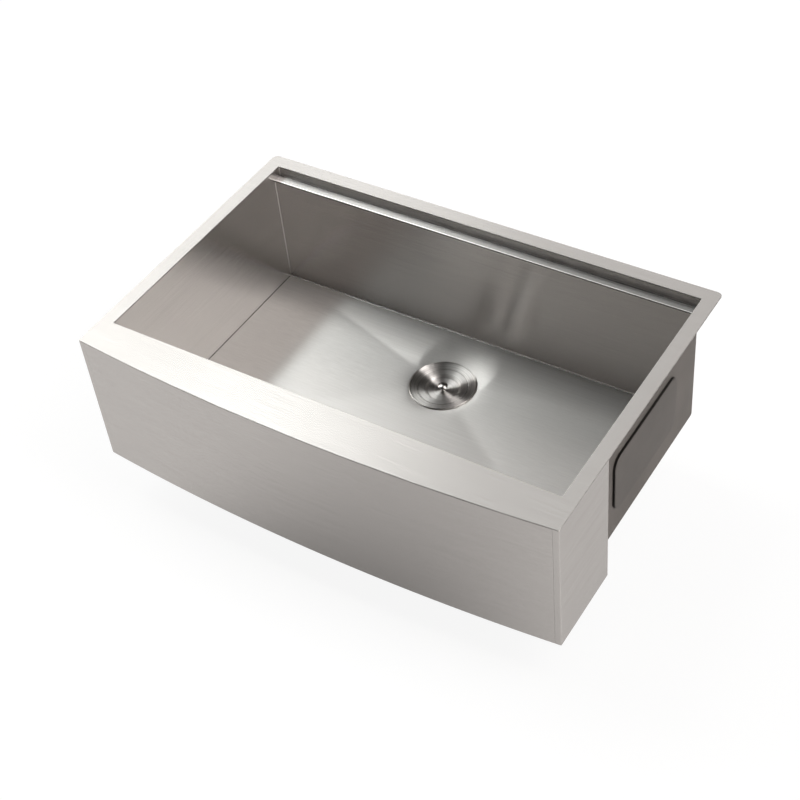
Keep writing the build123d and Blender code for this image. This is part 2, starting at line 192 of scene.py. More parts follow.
class Growth(Nodes):
    """A Geometry Nodes tree under way. Its inputs are named, and kept in given."""

    def __init__(self, name, **kinds):
        tree = bpy.data.node_groups.new(name, "GeometryNodeTree")
        super().__init__(tree)
        for label, kind in kinds.items():
            tree.interface.new_socket(name=label, in_out="INPUT", socket_type="NodeSocket" + kind)
        tree.interface.new_socket(name="Geometry", in_out="OUTPUT", socket_type="NodeSocketGeometry")
        sockets = self.add("NodeGroupInput").socket.node.outputs
        self.given = {socket.name: Output(self, socket) for socket in sockets if socket.name}

    def point(self, x=0.0, y=0.0, z=0.0):
        return self.add("ShaderNodeCombineXYZ", {}, {"X": x, "Y": y, "Z": z})

    def ring(self):
        """As many points in a circle as the inputs say."""
        circle = {"Vertices": self.given["Count"], "Radius": self.given["Radius"]}
        return self.add("GeometryNodeMeshCircle", {}, circle)

    def repeated(self, points, piece, **sockets):
        """The piece at every point."""
        return self.add("GeometryNodeInstanceOnPoints", {}, {"Points": points, "Instance": piece, **sockets})

    def raised(self, geometry, height):
        lift = {"Geometry": geometry, "Translation": self.point(z=height)}
        return self.add("GeometryNodeTransform", {}, lift)

    def whole(self, geometry):
        return self.add("GeometryNodeRealizeInstances", {}, {"Geometry": geometry})

    def close(self, geometry):
        """Ends the tree with real geometry in the given finish."""
        dressed = {"Geometry": self.whole(geometry), "Material": self.given["Finish"]}
        self.add("NodeGroupOutput", {}, {"Geometry": self.add("GeometryNodeSetMaterial", {}, dressed)})
        return self.tree


class Finish(Nodes):
    """A material under way. Its patterns lie on Object coordinates, in metres."""

    def __init__(self, name):
        self.material = bpy.data.materials.new(name)
        self.material.use_nodes = True
        super().__init__(self.material.node_tree)
        self.tree.nodes.clear()
        self.place = self.add("ShaderNodeTexCoord", output="Object")

    def noise(self, scale, detail=2.0, roughness=0.5, distortion=0.0):
        """Cloudy pattern between 0 and 1. scale is one number, or three for a pattern with a grain."""
        place = self.place
        if hasattr(scale, "__len__"):
            place = self.add("ShaderNodeMapping", {}, {"Vector": place, "Scale": scale})
            scale = 1.0
        look = {"Scale": scale, "Detail": detail, "Roughness": roughness, "Distortion": distortion}
        return self.add("ShaderNodeTexNoise", {}, {"Vector": place, **look})

    def parts(self):
        """The three coordinates of the place."""
        split = self.add("ShaderNodeSeparateXYZ", {}, {0: self.place}).socket.node
        return [Output(self, socket) for socket in split.outputs]

    def vector(self, operation, first, second=None, scale=None):
        """Output of a Vector Math node on the values that are given."""
        sockets = {0: first, 1: second, "Scale": scale}
        given = {name: value for name, value in sockets.items() if value is not None}
        return self.add("ShaderNodeVectorMath", {"operation": operation}, given)

    def scratched(self, streaks, grain, tilt):
        """Normal that leans to and fro across a brushed grain."""
        normal = self.add("ShaderNodeNewGeometry", output="Normal")
        across = self.vector("CROSS_PRODUCT", normal, grain)
        lean = self.vector("SCALE", across, scale=(streaks - 0.5) * tilt)
        return self.vector("NORMALIZE", self.vector("ADD", normal, lean))

    def bump(self, height, depth, strength):
        """Normal of a skin whose relief, from 0 to 1, is this deep."""
        return self.add("ShaderNodeBump", {}, {"Height": height, "Distance": depth, "Strength": strength})

    def surface(self, **sockets):
        """Principled shader with these sockets. An underscore stands for a space in a socket's name."""
        spaced = {name.replace("_", " "): value for name, value in sockets.items()}
        return self.add("ShaderNodeBsdfPrincipled", {}, spaced)

    def close(self, shader):
        self.add("ShaderNodeOutputMaterial", {"is_active_output": True}, {"Surface": shader})
        return self.material


# ---------------------------------------------------------------- finishes

STEEL = (0.72, 0.70, 0.682, 1)
STEEL_WORN = (0.64, 0.62, 0.603, 1)     # along the deeper brush marks
RING_DARK = (0.50, 0.485, 0.47, 1)      # grooves of the turned pieces
BEND_HIGHLIGHT = (0.86, 0.84, 0.82, 1)     # painted highlight: paler steel where the sheet is bent
SEAM_GRIME_AND_SHADE = (0.10, 0.095, 0.09, 1)
COAT_BROWN = (0.135, 0.122, 0.112, 1)
PAD_BROWN = (0.115, 0.105, 0.097, 1)
PAD_EDGE_BLACK_AND_SHADE = (0.012, 0.011, 0.010, 1)
RUBBER_BLACK = (0.018, 0.018, 0.018, 1)
PLASTIC_BLACK = (0.03, 0.03, 0.031, 1)
FIBRE_TAN = (0.34, 0.25, 0.15, 1)
SEAM_EDGE = 0.3 * MM        # over which a seam's grime and painted shade set in
FLOOR_SEAM = 1.2 * MM       # width of the seam's grime and painted shade on the floor, along the end plates
END_SEAM = 0.2 * MM         # and on the end plates, along the floor
STREAKS = (9.0, 2600.0)     # fine brush marks per metre, along the grain and across it
BANDS = (1.6, 260.0)        # the same of broader bands
RINGS = 900.0               # turned grooves per metre
SCRATCH_TILT = 0.2          # sideways lean of a scratched normal, for streaks from 0 to 1


def streak_scale(grain, along, across):
    """Scale of streaks that run along an axis."""
    return tuple(along if axis == grain else across for axis in "xyz")


def brushed_steel(name, grain, roughness, seam=None, anisotropy=1.0, shades=(STEEL, STEEL_WORN)):
    """Satin sheet, brushed along one axis.

    seam is an axis and the place on it past which a welded corner darkens with grime and painted shade.
    """
    steel = Finish(name)
    streaks = steel.noise(streak_scale(grain, *STREAKS), detail=3.0, roughness=0.6)
    bands = steel.noise(streak_scale(grain, *BANDS), detail=3.0, roughness=0.55)
    smears = steel.noise(7.0, detail=3.0, roughness=0.6, distortion=0.4)
    wear = steel.ease(streaks * 0.8 + bands * 0.2, 0.30, 0.70)
    colour = steel.mix(wear, *shades)
    # Grime and painted shade in the welded corner darken the colour past the seam.
    if seam:
        axis, start = seam
        place = steel.parts()["xyz".index(axis)]
        depth = place.maths("ABSOLUTE", place, 0.0)
        colour = steel.mix(steel.ease(depth, start, start + SEAM_EDGE), colour, SEAM_GRIME_AND_SHADE)
    along = {axis.upper(): float(axis == grain) for axis in "xyz"}
    tangent = steel.add("ShaderNodeCombineXYZ", {}, along)
    shader = steel.surface(
        Base_Color=colour,
        Metallic=1.0,
        Roughness=roughness + (bands - 0.5) * 0.015 + (streaks - 0.5) * 0.05 + (smears - 0.5) * 0.03,
        Anisotropic=anisotropy,
        Anisotropic_Rotation=0.25,
        Tangent=tangent,
        Normal=steel.scratched(streaks, tangent, SCRATCH_TILT),
    )
    return steel.close(shader)


def turned_steel(name, roughness, anisotropy):
    """Steel brushed in rings round the drain's axis, as its sheen runs where no tangent is given."""
    steel = Finish(name)
    x, y, z = steel.parts()
    radius = (x * x + y * y) ** 0.5
    place = steel.add("ShaderNodeCombineXYZ", {}, {"X": radius * RINGS, "Y": z * RINGS})
    grooves = {"Vector": place, "Scale": 1.0, "Detail": 3.0, "Roughness": 0.7}
    rings = steel.add("ShaderNodeTexNoise", {}, grooves)
    smears = steel.noise(60.0, detail=2.0)
    shader = steel.surface(
        Base_Color=steel.mix(steel.ease(rings, 0.35, 0.65), STEEL, RING_DARK),
        Metallic=1.0,
        Roughness=roughness + (rings - 0.5) * 0.2 + (smears - 0.5) * 0.04,
        Anisotropic=anisotropy,
        Anisotropic_Rotation=0.25,
        Normal=steel.bump(rings, 0.03 * MM, 0.3),
    )
    return steel.close(shader)


def sprayed_coat(name, colour, depth):
    """Matt grey-brown coat, sprayed on thick enough to leave an orange-peel skin."""
    coat = Finish(name)
    peel = coat.noise(420.0, detail=3.0, roughness=0.55)
    grit = coat.noise(1900.0, detail=2.0, roughness=0.6)
    drifts = coat.noise(9.0, detail=3.0, roughness=0.6)
    pale = tuple(min(1.0, part * 1.25) for part in colour[:3]) + (1,)
    shader = coat.surface(
        Base_Color=coat.mix(coat.ease(drifts * 0.6 + peel * 0.4, 0.35, 0.65), colour, pale),
        Roughness=0.62 + (peel - 0.5) * 0.2,
        Normal=coat.bump(peel + grit * 0.35, depth, 0.8),
    )
    return coat.close(shader)


def moulded(name, colour, roughness, grain, depth, specular=0.5):
    """Moulded rubber, plastic or pressed fibre with a fine skin."""
    skin = Finish(name)
    speckle = skin.noise(grain, detail=3.0, roughness=0.6)
    clouds = skin.noise(grain / 12, detail=2.0)
    worn = tuple(part * 1.35 + 0.01 for part in colour[:3]) + (1,)
    shader = skin.surface(
        Base_Color=skin.mix(skin.ease(clouds * 0.5 + speckle * 0.5, 0.4, 0.7), colour, worn),
        Roughness=roughness + (speckle - 0.5) * 0.15,
        Specular_IOR_Level=specular,
        Normal=skin.bump(speckle, depth, 0.6),
    )
    return skin.close(shader)


steel_along = brushed_steel("steel_brushed_along", "x", roughness=0.25)
steel_wall = brushed_steel("steel_brushed_wall", "x", roughness=0.22)
steel_floor = brushed_steel("steel_brushed_floor", "x", roughness=0.31, seam=("x", X_MOUTH - FLOOR_SEAM))
steel_ledge = brushed_steel("steel_brushed_ledge", "x", roughness=0.28)
steel_ends = brushed_steel("steel_brushed_ends", "y", roughness=0.20, seam=("z", BOWL_DEPTH - END_SEAM))
steel_return = brushed_steel("steel_brushed_return", "y", roughness=0.25)
# Bends and corner welds take a painted highlight: a paler steel than the sheet.
steel_bend = brushed_steel("steel_bend", "x", roughness=0.20, anisotropy=0.3, shades=(BEND_HIGHLIGHT, STEEL))
steel_turned = turned_steel("steel_turned", roughness=0.42, anisotropy=1.0)
steel_polished = turned_steel("steel_polished", roughness=0.22, anisotropy=0.6)
coat = sprayed_coat("sprayed_coat", COAT_BROWN, depth=0.4 * MM)
pad_skin = sprayed_coat("sprayed_pad", PAD_BROWN, depth=0.5 * MM)
# The pads' thin sides are black: partly bare rubber, partly painted shadow of the gap round the pad.
pad_edge = sprayed_coat("sprayed_pad_edge", PAD_EDGE_BLACK_AND_SHADE, depth=0.2 * MM)
seal_rubber = moulded("seal_rubber", RUBBER_BLACK, roughness=0.55, grain=900.0, depth=0.04 * MM)
nut_plastic = moulded("nut_plastic", PLASTIC_BLACK, roughness=0.42, grain=1500.0, depth=0.03 * MM)
fibre = moulded("pressed_fibre", FIBRE_TAN, roughness=0.85, grain=700.0, depth=0.1 * MM, specular=0.2)

# ---------------------------------------------------------------- ways of making a piece

SHARP = radians(32)         # edges sharper than this stay sharp to the eye
CUT_EDGE = radians(50)      # and those sharper than this are cut edges, which get broken
SAME_PLACE = 0.002 * MM     # facets' corners closer than this are joined


def rounded(corners, steps=6, close=False):
    """Points of an outline. Each corner is its two coordinates and the radius of the bend there."""
    line = []
    count = len(corners)
    for i, (across, up, radius) in enumerate(corners):
        here = Vector((across, up))
        if radius == 0 or (not close and i in (0, count - 1)):
            line.append(here)
            continue
        before = (Vector(corners[i - 1][:2]) - here).normalized()
        after = (Vector(corners[(i + 1) % count][:2]) - here).normalized()
        half = before.angle(after) / 2
        centre = here + (before + after).normalized() * radius / sin(half)
        spoke = here + before * radius / tan(half) - centre
        turn = -spoke.angle_signed(here + after * radius / tan(half) - centre)
        line += [centre + Matrix.Rotation(turn * step / steps, 2) @ spoke for step in range(steps + 1)]
    return line


def bow_y(x, inward=0.0):
    """Y of the apron's bowed face at x, or of a face that lies inward of it."""
    return Y_CORNER - BOW + BOW_RADIUS - sqrt((BOW_RADIUS - inward) ** 2 - x * x)


def spread(low, high, count):
    """Evenly spaced values from low to high."""
    return [low + (high - low) * i / (count - 1) for i in range(count)]


def grid_mesh(name, rows):
    """Mesh of quads over rows of points, each row as long as the others."""
    mesh = bpy.data.meshes.new(name)
    wide = len(rows[0])
    faces = [
        (r * wide + c, r * wide + c + 1, (r + 1) * wide + c + 1, (r + 1) * wide + c)
        for r in range(len(rows) - 1)
        for c in range(wide - 1)
    ]
    mesh.from_pydata([point for row in rows for point in row], [], faces)
    return mesh


def modifier(piece, kind, **settings):
    """Adds a modifier to the piece, with these settings."""
    added = piece.modifiers.new(kind.lower(), kind)
    for name, setting in settings.items():
        setattr(added, name, setting)


def applied(piece):
    """The piece as a plain mesh, with its modifiers worked in."""
    bpy.context.view_layer.update()
    shaped = piece.evaluated_get(bpy.context.evaluated_depsgraph_get())
    mesh = bpy.data.meshes.new_from_object(shaped)
    mesh.name = piece.name
    piece.modifiers.clear()
    piece.data = mesh
    return piece


def new_piece(name, mesh, *finishes):
    """An object at the origin, whose faces keep their places among the finishes."""
    piece = bpy.data.objects.new(name, mesh)
    bpy.context.scene.collection.objects.link(piece)
    places = [face.material_index for face in mesh.polygons]
    mesh.materials.clear()
    for finish in finishes:
        mesh.materials.append(finish)
    mesh.polygons.foreach_set("material_index", [min(place, len(finishes) - 1) for place in places])
    return piece


def placed(piece, body, slot, *nodes):
    """The finished piece rides on its body and stands for the nodes, which it hides; slot is not used."""
    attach(piece, body)
    if nodes:
        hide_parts(*nodes)


def smooth(mesh):
    """Smooth shading, but for the edges that are sharp."""
    mesh.polygons.foreach_set("use_smooth", [True] * len(mesh.polygons))
    mesh.set_sharp_from_angle(angle=SHARP)


def to_mesh(name, shape):
    """A new mesh from a bmesh that is no longer needed."""
    mesh = bpy.data.meshes.new(name)
    shape.to_mesh(mesh)
    shape.free()
    return mesh


def sheet_piece(name, mesh, *finishes, edge=BURR):
    """Sheet metal: a sheet's thickness behind the mesh's face, with its cut edges broken.

    The last finish goes on the back.
    """
    piece = new_piece(name, mesh, *finishes)
    modifier(
        piece, "SOLIDIFY", thickness=SHEET, offset=-1, use_even_offset=True,
        material_offset=len(finishes) - 1, material_offset_rim=0,
    )
    applied(piece)
    modifier(
        piece, "BEVEL", width=edge, segments=3, limit_method="ANGLE", angle_limit=CUT_EDGE,
        harden_normals=True,
    )
    smooth(piece.data)
    return applied(piece)


def merged_copy(node):
    """A copy of a CAD node's mesh, with its facets joined."""
    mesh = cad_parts[node].data.copy()
    joined = bmesh.new()
    joined.from_mesh(mesh)
    bmesh.ops.remove_doubles(joined, verts=joined.verts, dist=SAME_PLACE)
    joined.to_mesh(mesh)
    joined.free()
    mesh.name = node + "_dressed"
    return mesh


def dressed_copy(node, *finishes):
    """A merged and smoothed copy of a CAD node. A second finish goes on the faces along its thin side."""
    mesh = merged_copy(node)
    smooth(mesh)
    low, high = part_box(node)
    thin = min(range(3), key=lambda axis: high[axis] - low[axis])
    for face in mesh.polygons:
        face.material_index = int(abs(face.normal[thin]) < 0.5)
    piece = new_piece(node + "_dressed", mesh, *finishes)
    modifier(piece, "WEIGHTED_NORMAL", keep_sharp=True, weight=60)
    return applied(piece)


def grown(name, tree, mesh=None, **values):
    """A piece grown by a Geometry Nodes tree, on a mesh where the tree takes one, as a plain mesh."""
    piece = bpy.data.objects.new(name, mesh or bpy.data.meshes.new(name))
    bpy.context.scene.collection.objects.link(piece)
    growth = piece.modifiers.new(name, "NODES")
    growth.node_group = tree
    for item in tree.interface.items_tree:
        if item.name in values:
            growth[item.identifier] = values[item.name]
    applied(piece)
    smooth(piece.data)
    return piece


# ---------------------------------------------------------------- bowl

ON_LEDGE, ON_WALL, ON_FLOOR, ON_BEND = range(4)     # places of the trough's finishes
SEAT_RINGS = [DRAIN_HOLE] + [radius * MM for radius in (49, 53, 56, 58, 59.2, 60, 60.6, 61.3, 62)]
RAMP_STEP = 1.6 * MM        # between the rings of points round the seat
RAMP_STEPS = 28
FLOOR_STEPS = 36            # from there to the floor's edge
EDGE_STEPS = (56, 96, 56, 96)       # along the floor's right, back, left and front edges
WELDED = 0.02 * MM          # points of the floor and the walls closer than this are joined
BEND_SLANT = 0.1            # a face that leans at least this much both ways belongs to a bend


def soft_max(first, second, softness):
    """The larger of two values, rounded over where they are nearly the same."""
    near = max(softness - abs(first - second), 0.0) / softness
    return max(first, second) + near * near * softness / 4


def seat_height(radius):
    """Height of the pressed drain seat above its flat."""
    dip = -DIP_SLOPE * (SEAT_DIP - radius)
    ramp = RAMP_SLOPE * (radius - SEAT_FLAT)
    return soft_max(-soft_max(-dip, 0.0, PRESS_SOFTNESS), ramp, PRESS_SOFTNESS)


def facet_z(x, y):
    """Height of the creased floor's four facets, which fall to the drain."""
    reach_y = Y_FLOOR_BACK if y > 0 else -Y_FLOOR_FRONT
    share = min(soft_max(abs(x) / X_MOUTH, abs(y) / reach_y, CREASE_SOFTNESS), 1.0)
    fall = min((1 - share) / (1 - LEVEL_SHARE), 1.0)
    return -BOWL_DEPTH - FLOOR_FALL * fall


def floor_z(x, y):
    """Height of the floor with the drain seat pressed into it, which draws it down softly all round."""
    radius = hypot(x, y)
    near = SEAT_FLAT / radius
    height = facet_z(x * near, y * near) - SEAT_Z
    drop = min(height, DISHED)
    fade = min(max(1 - (radius - SEAT_FLAT) / DISH_REACH, 0.0), 1.0) ** DISH_POWER
    seat = SEAT_Z + seat_height(radius)
    softness = PRESS_SOFTNESS + RAMP_SOFTNESS * (height - drop)
    return -soft_max(drop * fade - facet_z(x, y), -seat, softness)


def perimeter():
    """Points along the floor's edge, anticlockwise from the front right, closer together at its corners."""

    def side(start, end, count):
        eased = [0.5 - 0.5 * cos(pi * i / count) for i in range(count)]
        return [start.lerp(end, 0.5 * share + 0.5 * i / count) for i, share in enumerate(eased)]

    corners = [
        Vector((X_MOUTH, Y_FLOOR_FRONT)), Vector((X_MOUTH, Y_FLOOR_BACK)),
        Vector((-X_MOUTH, Y_FLOOR_BACK)), Vector((-X_MOUTH, Y_FLOOR_FRONT)),
    ]
    runs = zip(corners, corners[1:] + corners[:1], EDGE_STEPS)
    return [point for start, end, count in runs for point in side(start, end, count)]


def wall_section(side):
    """Section of a long wall from the floor's edge to the rim. side is 1 at the back and -1 at the front."""
    wall, mouth = (Y_WALL_BACK, Y_MOUTH_BACK) if side > 0 else (Y_WALL_FRONT, Y_MOUTH_FRONT)
    return rounded([
        (wall - side * 2 * FLOOR_BEND, -BOWL_DEPTH, 0),
        (wall, -BOWL_DEPTH, FLOOR_BEND),
        (wall, -LEDGE_DROP, BEND + SHEET),
        (mouth, -LEDGE_DROP, BEND),
        (mouth, -SHEET, 0),
    ])[1:]


def bowl_inside():
    """Inside face of the folded trough: the floor in rays from the drain, and both long walls."""
    edge = perimeter()
    pressed = SEAT_RINGS + [SEAT_RINGS[-1] + RAMP_STEP * step for step in range(1, RAMP_STEPS + 1)]
    rows = []
    for point in edge + edge[:1]:
        reach = point.length
        outer = spread(pressed[-1], reach, FLOOR_STEPS + 1)[1:]
        way = point / reach
        places = [way * radius for radius in pressed + outer]
        rows.append([(place.x, place.y, floor_z(place.x, place.y)) for place in places])
    mesh = grid_mesh("bowl_inside", rows)
    bowl = bmesh.new()
    bowl.from_mesh(mesh)
    for side, edge_y in ((-1, Y_FLOOR_FRONT), (1, Y_FLOOR_BACK)):
        along = {round(point.x, 7) for point in edge if abs(point.y - edge_y) < 1e-6}
        stations = sorted(along | {-X_MOUTH, X_MOUTH})
        section = wall_section(side)
        strips = [[bowl.verts.new((x, y, z)) for y, z in section] for x in stations]
        for left, right in zip(strips, strips[1:]):
            for i in range(len(section) - 1):
                corners = [left[i], right[i], right[i + 1], left[i + 1]]
                bowl.faces.new(corners if side > 0 else corners[::-1])
    bmesh.ops.remove_doubles(bowl, verts=bowl.verts, dist=WELDED)
    bowl.normal_update()
    for face in bowl.faces:
        middle = face.calc_center_median()
        slanting = min(abs(face.normal.y), abs(face.normal.z)) > BEND_SLANT
        if slanting and middle.xy.length > Y_FLOOR_BACK:
            face.material_index = ON_BEND
        elif middle.z > -LEDGE_DROP - BEND:
            face.material_index = ON_LEDGE
        else:
            face.material_index = ON_WALL if middle.z > -BOWL_DEPTH else ON_FLOOR
    bowl.to_mesh(mesh)
    bowl.free()
    return mesh


def end_wall(side):
    """Inside face of an end plate, cut to the outside of the trough's section."""
    front, back = Y_WALL_FRONT - SHEET, Y_WALL_BACK + SHEET
    ledge, foot = -LEDGE_DROP - SHEET, -BOWL_DEPTH - SHEET
    corners = [
        (Y_MOUTH_FRONT - SHEET, -SHEET, 0),
        (Y_MOUTH_FRONT - SHEET, ledge, BEND + SHEET),
        (front, ledge, BEND),
        (front, foot, FLOOR_BEND + SHEET),
        (back, foot, FLOOR_BEND + SHEET),
        (back, ledge, BEND),
        (Y_MOUTH_BACK + SHEET, ledge, BEND + SHEET),
        (Y_MOUTH_BACK + SHEET, -SHEET, 0),
    ]
    outline = [(side * X_MOUTH, y, z) for y, z in rounded(corners)]
    mesh = bpy.data.meshes.new("end_wall")
    mesh.from_pydata(outline if side < 0 else outline[::-1], [], [tuple(range(len(outline)))])
    return mesh


def corner_welds():
    """Ground welds that round the upright corners between the end plates and the folded trough."""
    welds = bmesh.new()
    under = -LEDGE_DROP - BEND - SHEET
    runs = [
        (Y_WALL_FRONT, 1, -BOWL_DEPTH, under), (Y_WALL_BACK, -1, -BOWL_DEPTH, under),
        (Y_MOUTH_FRONT, 1, -LEDGE_DROP, -SHEET), (Y_MOUTH_BACK, -1, -LEDGE_DROP, -SHEET),
    ]
    reach = 2 * CORNER_WELD
    for side in (-1, 1):
        end = side * X_MOUTH
        for wall, inward, low, high in runs:
            bend = [(end - side * reach, wall, 0), (end, wall, CORNER_WELD), (end, wall + inward * reach, 0)]
            outline = rounded(bend)[1:-1] + [Vector((end, wall))]
            foot, head = [[welds.verts.new((x, y, z)) for x, y in outline] for z in (low, high)]
            for i in range(len(outline)):
                welds.faces.new((foot[i - 1], foot[i], head[i], head[i - 1]))
            welds.faces.new(foot)
            welds.faces.new(head)
    bmesh.ops.recalc_face_normals(welds, faces=welds.faces)
    mesh = to_mesh("corner_welds", welds)
    smooth(mesh)
    return mesh


# The bends' faces take the steel with the painted highlight.
trough_finishes = (steel_ledge, steel_wall, steel_floor, steel_bend, coat)
trough = sheet_piece("bowl_trough_dressed", bowl_inside(), *trough_finishes)
placed(trough, "sink", "brushed_sheet", "bowl_trough")
for side, hand in HANDS:
    plate = sheet_piece(hand + "_end_wall_dressed", end_wall(side), steel_ends, coat)
    placed(plate, "sink", "brushed_sheet", hand + "_end_wall")
# The corner welds take the steel with the painted highlight too.
placed(new_piece("corner_welds", corner_welds(), steel_bend), "sink", "brushed_sheet")

# ---------------------------------------------------------------- rim and apron

BOW_POINTS = 97             # along the bowed front


def rim_top():
    """Top face of the rim, from its outline to the bowl's mouth."""
    bow = [(x, bow_y(x), 0) for x in spread(-HALF_WIDTH, HALF_WIDTH, BOW_POINTS)]
    bow[0] = bow[0][:2] + (APRON_CORNER,)
    bow[-1] = bow[-1][:2] + (APRON_CORNER,)
    back = [(HALF_WIDTH, Y_BACK, BACK_CORNER), (-HALF_WIDTH, Y_BACK, BACK_CORNER)]
    outside = rounded(bow + back, steps=8, close=True)
    mouth = [
        Vector((X_MOUTH, Y_MOUTH_FRONT)), Vector((X_MOUTH, Y_MOUTH_BACK)),
        Vector((-X_MOUTH, Y_MOUTH_BACK)), Vector((-X_MOUTH, Y_MOUTH_FRONT)),
    ]
    rim = bmesh.new()
    for loop in (outside, mouth):
        corners = [rim.verts.new((point.x, point.y, 0)) for point in loop]
        for i in range(len(corners)):
            rim.edges.new((corners[i - 1], corners[i]))
    bmesh.ops.triangle_fill(rim, edges=rim.edges, use_beauty=True, normal=(0, 0, 1))
    bmesh.ops.recalc_face_normals(rim, faces=rim.faces)
    if sum(face.normal.z for face in rim.faces) < 0:
        bmesh.ops.reverse_faces(rim, faces=rim.faces)
    bmesh.ops.dissolve_limit(rim, angle_limit=radians(1), verts=rim.verts, edges=rim.edges)
    return to_mesh("rim_top", rim)


def upright(name, path):
    """Face of an apron's sheet along a path, on the path's right, from under the rim down to its foot."""
    return grid_mesh(name, [[(x, y, -SHEET), (x, y, APRON_FOOT)] for x, y in path])


def return_path(side):
    """Path of an apron's side sheet: strip at the front, side, and the flange folded in to the bowl."""
    flange_y = return_high.y
    return rounded([
        (side * X_SEAM, bow_y(X_SEAM), 0),
        (side * HALF_WIDTH, Y_CORNER, APRON_CORNER),
        (side * HALF_WIDTH, flange_y, APRON_CORNER),
        (side * return_low.x, flange_y, 0),
    ], steps=8)


rim = sheet_piece("rim_frame_dressed", rim_top(), steel_along, edge=RIM_EDGE)
placed(rim, "sink", "brushed_sheet", "rim_frame")

panel_edge = X_SEAM - SEAM
panel_path = [(x, bow_y(x)) for x in spread(-panel_edge, panel_edge, BOW_POINTS)]
panel = sheet_piece("apron_front_panel_dressed", upright("apron_front_panel", panel_path), steel_along)
placed(panel, "sink", "brushed_sheet", "apron_front_panel")

for side, hand in HANDS:
    outward = return_path(side)[::side]
    corner = sheet_piece("apron_" + hand + "_return_dressed", upright("apron_return", outward), steel_return)
    placed(corner, "sink", "brushed_sheet", "apron_" + hand + "_return")

hem_rows = [
    [(x, bow_y(x, SHEET), APRON_FOOT), (x, hem_high.y, APRON_FOOT)]
    for x in spread(hem_low.x, hem_high.x, BOW_POINTS)
]
hem = sheet_piece("apron_bottom_hem_dressed", grid_mesh("hem", hem_rows), steel_along)
placed(hem, "sink", "brushed_sheet", "apron_bottom_hem")

# ---------------------------------------------------------------- pads, strainer and its clamp

COPIES = (
    ("sink", "pad_rubber", (pad_skin, pad_edge), (
        "sound_pad_left", "sound_pad_right", "sound_pad_back", "sound_pad_front",
        "sound_pad_floor_left", "sound_pad_floor_right",
    )),
    ("sink", "turned_steel", (steel_turned,), ("strainer_body",)),
    ("sink", "seal_rubber", (seal_rubber,), ("flange_gasket", "sink_washer", "tailpiece_washer")),
    ("sink", "fibre", (fibre,), ("friction_ring",)),
    ("sink", "nut_plastic", (nut_plastic,), ("lock_nut", "coupling_nut")),
    ("basket", "turned_steel", (steel_turned,), ("basket_handle",)),
    ("lid", "turned_steel", (steel_turned,), ("lid_dish",)),
    ("lid", "turned_steel", (steel_polished,), ("lid_post", "lid_knob", "lid_nut")),
    ("lid", "seal_rubber", (seal_rubber,), ("lid_seal", "lid_washer")),
)
for body, slot, finishes, nodes in COPIES:
    for node in nodes:
        placed(dressed_copy(node, *finishes), body, slot, node)

# ---------------------------------------------------------------- holes, threads, ribs and welds

BEAD_SINK = 0.35 * MM       # how deep a weld's path lies in the metal


def perforation_tree():
    """Rows of round holes through the wall of a cup. Each row is turned by half a step."""
    tree = Growth(
        "perforation", Cup="Geometry", Rows="Int", Count="Int", Radius="Float", Hole="Float", Low="Float",
        Rise="Float", Finish="Material",
    )
    given = tree.given
    place = tree.add("GeometryNodeInputPosition")
    outward = tree.add("FunctionNodeAlignRotationToVector", {"axis": "Z"}, {2: place})
    punch = {"Vertices": 24, "Radius": given["Hole"], "Depth": given["Radius"] * 0.6}
    row = tree.repeated(tree.ring(), tree.add("GeometryNodeMeshCylinder", {}, punch), Rotation=outward)
    heights = {"Count": given["Rows"], 2: tree.point(z=given["Low"]), 3: tree.point(z=given["Rise"])}
    turn = tree.add("GeometryNodeInputIndex") * pi / given["Count"]
    rows = tree.repeated(tree.add("GeometryNodeMeshLine", {}, heights), row, Rotation=tree.point(z=turn))
    way = {"operation": "DIFFERENCE", "solver": "EXACT"}
    cut = tree.add("GeometryNodeMeshBoolean", way, {"Mesh 1": given["Cup"], "Mesh 2": tree.whole(rows)})
    return tree.close(cut)


def thread_tree():
    """A ridge that winds round the drain's axis and fades at both ends."""
    tree = Growth(
        "thread", Radius="Float", Foot="Float", Length="Float", Pitch="Float", Ridge="Float",
        Finish="Material",
    )
    given = tree.given
    turns = given["Length"] / given["Pitch"]
    winding = {
        "Resolution": 90, "Rotations": turns, "Height": given["Length"],
        "Start Radius": given["Radius"], "End Radius": given["Radius"],
    }
    path = tree.add("GeometryNodeCurveSpiral", {}, winding)
    path = tree.add("GeometryNodeSetCurveNormal", {"mode": "Z_UP"}, {"Curve": path})
    share = tree.add("GeometryNodeSplineParameter")
    fade = (share.at_most(1 - share) * turns * 3.0).at_most(1.0)
    section = tree.add("GeometryNodeCurvePrimitiveCircle", {}, {"Resolution": 4, "Radius": given["Ridge"]})
    sweep = {"Curve": path, "Profile Curve": section, "Scale": fade, "Fill Caps": True}
    return tree.close(tree.raised(tree.add("GeometryNodeCurveToMesh", {}, sweep), given["Foot"]))


def rib_tree():
    """Upright half-round ribs in a ring."""
    tree = Growth(
        "ribs", Radius="Float", Count="Int", Width="Float", Foot="Float", Height="Float", Finish="Material",
    )
    given = tree.given
    rib = {"Vertices": 10, "Radius": given["Width"] * 0.5, "Depth": given["Height"]}
    ribs = tree.repeated(tree.ring(), tree.add("GeometryNodeMeshCylinder", {}, rib))
    return tree.close(tree.raised(ribs, given["Foot"] + given["Height"] * 0.5))


def weld_tree():
    """Beads laid close along the edges of a mesh."""
    tree = Growth("weld", Path="Geometry", Spacing="Float", Bead="Float", Finish="Material")
    given = tree.given
    line = tree.add("GeometryNodeMeshToCurve", {}, {"Mesh": given["Path"]})
    evenly = {"Curve": line, "Length": given["Spacing"]}
    line = tree.add("GeometryNodeResampleCurve", {"mode": "LENGTH"}, evenly)
    bead = tree.add("GeometryNodeMeshIcoSphere", {}, {"Radius": given["Bead"], "Subdivisions": 2})
    return tree.close(tree.repeated(line, bead))


